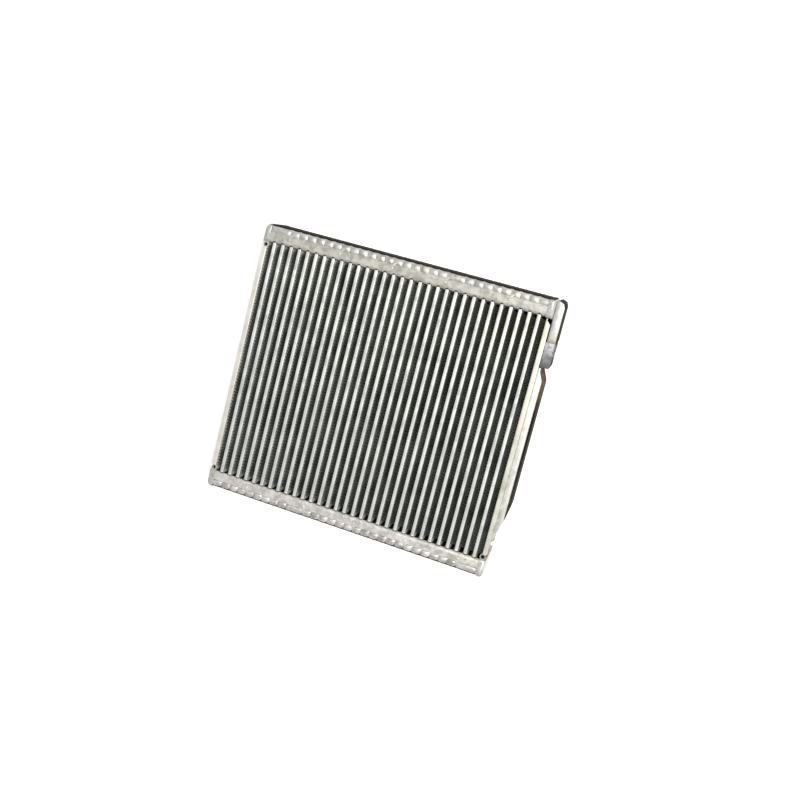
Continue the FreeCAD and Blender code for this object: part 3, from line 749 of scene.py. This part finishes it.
plain_rib = add_rib(valleys[1], valleys[2])
sheets = []
for x_low, x_high in zip(valleys, valleys[1:]):
    if abs(x_high - x_low - TUBE_PITCH) < SAME:
        sheets.append(copy_of(plain_rib, "rib", Matrix.Translation((x_low - valleys[1], 0, 0))))
    else:
        sheets.append(add_rib(x_low, x_high))
bpy.data.objects.remove(plain_rib)
cover = join(sheets, "cover_model")
open_mesh(cover)
for side, last in ((-1, valleys[0]), (1, valleys[-1])):
    choose(cover, "EDGE", lambda middle, way: abs(way.x) < ACROSS and abs(middle.x - last) < SAME)
    bpy.ops.mesh.extrude_edges_move(TRANSFORM_OT_translate={"value": (side * COVER_INTO_CAP, 0, 0)})
close_mesh()
work(cover, "SOLIDIFY", thickness=COVER_WALL, offset=-1)
smooth(cover, COVER_SMOOTH)
bottom_cover = copy_of(cover, "bottom_cover", half_turn)
for piece, end, bright, dull, painted_shade, shade_band in (
    (cover, "top", TANK_BRIGHT, TANK_DULL, TANK_PAINTED_SHADE, None),
    (bottom_cover, "bottom", TANK_LOW_BRIGHT, TANK_LOW_DULL, TANK_LOW_PAINTED_SHADE, TANK_LOW_SHADE_BAND),
):
    tank_finish = brazed_aluminium("brazed_%s_tank" % end, bright, dull, patch=6 * MM,
                                   dents=0.14 * MM, grain=(0.2, 1, 1), painted_shade=painted_shade, shade_band=shade_band)
    dress(piece, end + "_cover", tank_finish, "tank_aluminium", end + "_tank_cover")

# End caps. Four cups drawn from sheet are pressed over the ends of the two tanks. The right
# ones have an opening: one for the outlet into the upper duct, one for the feed tube.
CAP_WALL = 0.8 * MM
CAP_CORNERS = {"left": 5.0 * MM, "right": 3.2 * MM}
CAP_CORNER_SEGMENTS = 8
CAP_ROUNDING = 3.0 * MM
CAP_SEGMENTS = 6
CAP_SMOOTH = 50
CAP_LIP = 5.0 * MM
CAP_LIP_DRAW = 0.4 * MM
CAP_NEAR = 0.05 * MM
OUTLET_WINDOW = (Vector((118.4, 105.3, 5.95)) * MM, Vector((122, 112.3, 18.9)) * MM)
CAP_BRIGHT = (0.64, 0.635, 0.58)
CAP_DULL = (0.46, 0.45, 0.41)
# Painted shade on the top caps' faces turned upwards.
CAP_PAINTED_SHADE = {"top": (0.7, (0, 1, 0)), "bottom": None}

cap_finishes = {}
for end, painted_shade in CAP_PAINTED_SHADE.items():
    cap_finishes[end] = brazed_aluminium("brazed_%s_cap" % end, CAP_BRIGHT, CAP_DULL,
                                         patch=5 * MM, dents=0.18 * MM, painted_shade=painted_shade)
right_cap_low, right_cap_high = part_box("top_right_cap")


def add_cap(corner):
    """A cup over the top tank's right end, rounded in plan at its outer corner."""
    low, high = right_cap_low, right_cap_high
    cup = add_block("cap_model", low, high)
    round_edges(cup, lambda middle, way: abs(way.z) > STRAIGHT and middle.x > high.x - CAP_NEAR
                and middle.y > high.y - CAP_NEAR, corner, CAP_CORNER_SEGMENTS)
    round_edges(cup, lambda middle, way: abs(way.z) < ACROSS and middle.x > low.x + CAP_NEAR
                and (middle.z > high.z - CAP_NEAR or middle.z < low.z + CAP_NEAR),
                CAP_ROUNDING, CAP_SEGMENTS)
    open_mesh(cup)
    choose(cup, "FACE", lambda middle, normal: normal.x < -STRAIGHT)
    bpy.ops.mesh.delete(type="FACE")
    split_at((low.x + CAP_LIP, 0, 0), (1, 0, 0))
    choose(cup, "VERT", lambda place, normal: place.x < low.x + CAP_NEAR)
    size = high - low
    drawn = (1, 1 - 2 * CAP_LIP_DRAW / size.y, 1 - 2 * CAP_LIP_DRAW / size.z)
    bpy.ops.transform.resize(value=drawn, center_override=(low + high) / 2)
    bpy.ops.object.mode_set(mode="OBJECT")
    work(cup, "SOLIDIFY", thickness=CAP_WALL, offset=-1)
    smooth(cup, CAP_SMOOTH)
    return cup


mirrored = Matrix.Translation((2 * CORE_X, 0, 0)) @ Matrix.Scale(-1, 4, (1, 0, 0))
for end, side, placed, opening in (
    ("top", "right", Matrix.Identity(4), OUTLET_WINDOW),
    ("top", "left", mirrored, None),
    ("bottom", "left", half_turn, None),
    ("bottom", "right", half_turn @ mirrored, FEED_SLOT),
):
    cup = add_cap(CAP_CORNERS[side])
    cup.data.transform(placed)
    if placed.is_negative:
        cup.data.flip_normals()
    if opening:
        cut_away(cup, add_block("opening", *opening))
        smooth(cup, CAP_SMOOTH)
    dress(cup, "cap_%s_%s" % (end, side), cap_finishes[end], "cap_aluminium",
          "%s_%s_cap" % (end, side))

# Side plates. Two channels bent from sheet close the sides of the core, brazed to the last
# fins, with flanges that end in a slant at the tanks. Three ends are rolled into an eye.
SIDE_EDGE = 0.25 * MM
# The right plate's colour is a darker copy of the left one's as painted shade, darker still towards
# its top, with painted shade on its faces turned to the right.
SIDE_BRIGHT_RIGHT_SHADED = {"left": (0.98, 0.95, 0.87), "right": (0.66, 0.645, 0.56)}
SIDE_DULL_RIGHT_SHADED = {"left": (0.88, 0.85, 0.77), "right": (0.50, 0.49, 0.40)}
SIDE_PAINTED_SHADE = {"left": None, "right": (0.5, (1, 0, 0))}
SIDE_SHADE_FADE = {"left": None, "right": (-40 * MM, 80 * MM)}
SIDE_EYES = {"left": ((-124.9, 99.0), (-124.9, -99.0)), "right": ((117.3, -99.0),)}
EYE_RADIUS = 2.4 * MM
EYE_WALL = 0.8 * MM
EYE_HEIGHT = 2.0 * MM
EYE_RISE = 0.6 * MM
EYE_DEPTH = 1.2 * MM
# How far the painted black shade round each eye reaches.
EYE_SHADE_REACH = 2.6 * MM
EASED_MERGE = 0.01 * MM
EASED_FLAT = 1
EASED_FROM = 40
EASED_SEGMENTS = 3
EASED_SMOOTH = 45


def eased_copy(node, width):
    """A copy of a CAD node, without what ties it to its body, with its faces merged and its
    edges rounded."""
    piece = copy_of(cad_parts[node], node, Matrix.Identity(4))
    piece.parent = None
    for key in list(piece.keys()):
        del piece[key]
    open_mesh(piece)
    bpy.ops.mesh.select_all(action="SELECT")
    bpy.ops.mesh.remove_doubles(threshold=EASED_MERGE)
    bpy.ops.mesh.dissolve_limited(angle_limit=math.radians(EASED_FLAT))
    bpy.ops.object.mode_set(mode="OBJECT")
    work(piece, "BEVEL", width=width, segments=EASED_SEGMENTS, limit_method="ANGLE",
         angle_limit=math.radians(EASED_FROM))
    smooth(piece, EASED_SMOOTH)
    return piece


def add_eye(middle):
    """A rolled eye, open at its top, whose top stands a little above a place."""
    bpy.ops.object.select_all(action="DESELECT")
    bpy.ops.mesh.primitive_cylinder_add(vertices=ROUND_SIDES, radius=EYE_RADIUS, depth=EYE_HEIGHT,
                                        location=middle + Vector((0, 0, EYE_RISE - EYE_HEIGHT / 2)))
    eye = settle()
    open_mesh(eye)
    choose(eye, "FACE", lambda place, normal: normal.z > STRAIGHT)
    bpy.ops.mesh.inset(thickness=EYE_WALL)
    bpy.ops.mesh.extrude_region_move(TRANSFORM_OT_translate={"value": (0, 0, -EYE_DEPTH)})
    close_mesh()
    return eye


for side in ("left", "right"):
    node = side + "_side_plate"
    plate = eased_copy(node, SIDE_EDGE)
    flange_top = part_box(node)[1].z
    middles = [Vector((x * MM, y * MM, flange_top)) for x, y in SIDE_EYES[side]]
    plate = join([plate] + [add_eye(middle) for middle in middles], node)
    smooth(plate, EASED_SMOOTH)
    # Painted black shade round the plate's eyes, where its hollow ends lie in shadow.
    side_finish = brazed_aluminium(
        "brazed_%s_side" % side, SIDE_BRIGHT_RIGHT_SHADED[side], SIDE_DULL_RIGHT_SHADED[side], patch=12 * MM,
        grain=(1, 0.1, 1), painted_shade=SIDE_PAINTED_SHADE[side], shade_fade=SIDE_SHADE_FADE[side],
        shade_spots=(PAINTED_SHADE_BLACK, middles, EYE_SHADE_REACH, 1))
    dress(plate, side + "_plate", side_finish, "side_aluminium", node)

# Upper duct. A closed box drawn from sheet takes the outlet from the end of the top tank to
# the connector block. It is brazed to the cap's face.
DUCT_EDGE = 0.3 * MM
DUCT_BRIGHT = (0.68, 0.675, 0.62)
DUCT_DULL = (0.52, 0.515, 0.47)
# Painted shade on the duct's faces turned to the right and upwards.
DUCT_PAINTED_SHADE = (0.78, (1, 1, 0))

duct_finish = brazed_aluminium("brazed_duct", DUCT_BRIGHT, DUCT_DULL, grain=(1, 0.08, 1),
                               painted_shade=DUCT_PAINTED_SHADE)
dress(eased_copy("upper_duct", DUCT_EDGE), "duct_upper", duct_finish, "duct_aluminium",
      "upper_duct")

# Lower duct. A drawn shell closes the side plate's channel from the block down, and tapers
# off towards the bottom tank. A bar closes the channel's foot, and a thin flat tube leads
# from there into the tank.
# Painted shade on the lower duct's faces turned to the right and upwards.
LOWER_PAINTED_SHADE = (0.45, (1, 1, 0))
# A painted warm brown reflection on the lower duct just below the block, laid over its painted shade.
LOWER_PAINTED_REFLECTION = ((0.15, 0.085, 0.04), [Vector((126, 58, 40)) * MM], 34 * MM, 0.45)

lower_finish = brazed_aluminium("brazed_lower_duct", DUCT_BRIGHT, DUCT_DULL, grain=(1, 0.08, 1),
                                painted_shade=LOWER_PAINTED_SHADE, stain_and_reflection=LOWER_PAINTED_REFLECTION)
dress(eased_copy("lower_duct", DUCT_EDGE), "duct_lower", lower_finish, "duct_aluminium",
      "lower_duct")
for node in ("duct_foot", "feed_tube"):
    coat(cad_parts[node], duct_finish)

# Connector block. A block machined from bar holds the two ports and the tapped hole for the
# pipe clamp, and its tongue fills the side plate's channel.
BLOCK_EDGE = 0.25 * MM
BLOCK_BRIGHT = (0.56, 0.565, 0.56)
BLOCK_DULL = (0.13, 0.13, 0.13)
# Painted shade: the block darkens towards its lower end, and its faces turned to the right and upwards
# are dark.
BLOCK_SHADE_FADE = (86 * MM, 61 * MM)
BLOCK_PAINTED_SHADE = (0.8, (1, 1, 0))

block_finish = brazed_aluminium("machined_block", BLOCK_BRIGHT, BLOCK_DULL, patch=4 * MM,
                                rough=(0.42, 0.60), grain=(1, 0.05, 1), painted_shade=BLOCK_PAINTED_SHADE,
                                shade_fade=BLOCK_SHADE_FADE)
dress(eased_copy("connector_block", BLOCK_EDGE), "block_connector", block_finish,
      "block_aluminium", "connector_block")

# Inner plates. Partitions along each tank part its front row from the back row, and baffles
# end the passes. They are brazed where they meet the header plate and the cover.
INNER_BRIGHT = (0.70, 0.70, 0.68)
INNER_DULL = (0.50, 0.50, 0.48)

inner_finish = brazed_aluminium("brazed_inner", INNER_BRIGHT, INNER_DULL)
for node in ("top_partition", "bottom_partition", "top_back_baffle", "bottom_front_baffle",
             "bottom_back_baffle"):
    coat(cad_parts[node], inner_finish)

# Floor. A plain pale studio floor that the core lies on.
FLOOR_SIZE = 8
FLOOR_COLOUR = (0.94, 0.94, 0.94)
FLOOR_ROUGH = 0.8
FLOOR_GLOW = 0.35
WHITE = (1, 1, 1)

bpy.ops.object.select_all(action="DESELECT")
bpy.ops.mesh.primitive_plane_add(size=FLOOR_SIZE)
floor = bpy.context.active_object
floor.name = "floor"
floor_finish = bpy.data.materials.new("pale_floor")
floor_finish.use_nodes = True
floor_shader = floor_finish.node_tree.nodes["Principled BSDF"]
floor_shader.inputs["Base Color"].default_value = (*FLOOR_COLOUR, 1)
floor_shader.inputs["Roughness"].default_value = FLOOR_ROUGH
floor_shader.inputs["Emission Color"].default_value = (*WHITE, 1)
floor_shader.inputs["Emission Strength"].default_value = FLOOR_GLOW
floor.data.materials.append(floor_finish)

# Light. One soft box hangs high above the upper right of the core, and the pale room fills
# the rest.
KEY_PLACE = Vector((1.0, 0.47, 2.0))
KEY_SIZE = 1.2
KEY_POWER = 50
ROOM_COLOUR = (0.98, 0.98, 1.0)
ROOM_STRENGTH = 0.42

key = bpy.data.lights.new("key", "AREA")
key.size = KEY_SIZE
key.energy = KEY_POWER
key_light = bpy.data.objects.new("key", key)
key_light.location = KEY_PLACE
key_light.rotation_euler = (-KEY_PLACE).to_track_quat("-Z", "Y").to_euler()
bpy.context.collection.objects.link(key_light)
room = bpy.data.worlds.new("room")
room.use_nodes = True
room_light = room.node_tree.nodes["Background"]
room_light.inputs["Color"].default_value = (*ROOM_COLOUR, 1)
room_light.inputs["Strength"].default_value = ROOM_STRENGTH
bpy.context.scene.world = room
bpy.context.scene.view_settings.view_transform = "Standard"

# Camera. It looks down on the core from high above a place just outside its top right corner.
CAMERA_PLACE = (0.165617, 0.156557, 0.745317)
CAMERA_TURN = (-3.4001, 13.6799, 14.5813)
CAMERA_LENS = 40.365
CAMERA_SENSOR = 36
CAMERA_SHIFT = (-0.0125, -0.1025)

lens = bpy.data.cameras.new("camera")
lens.lens = CAMERA_LENS
lens.sensor_width = CAMERA_SENSOR
lens.shift_x, lens.shift_y = CAMERA_SHIFT
camera = bpy.data.objects.new("camera", lens)
camera.location = CAMERA_PLACE
camera.rotation_euler = [math.radians(turn) for turn in CAMERA_TURN]
bpy.context.collection.objects.link(camera)
bpy.context.scene.camera = camera
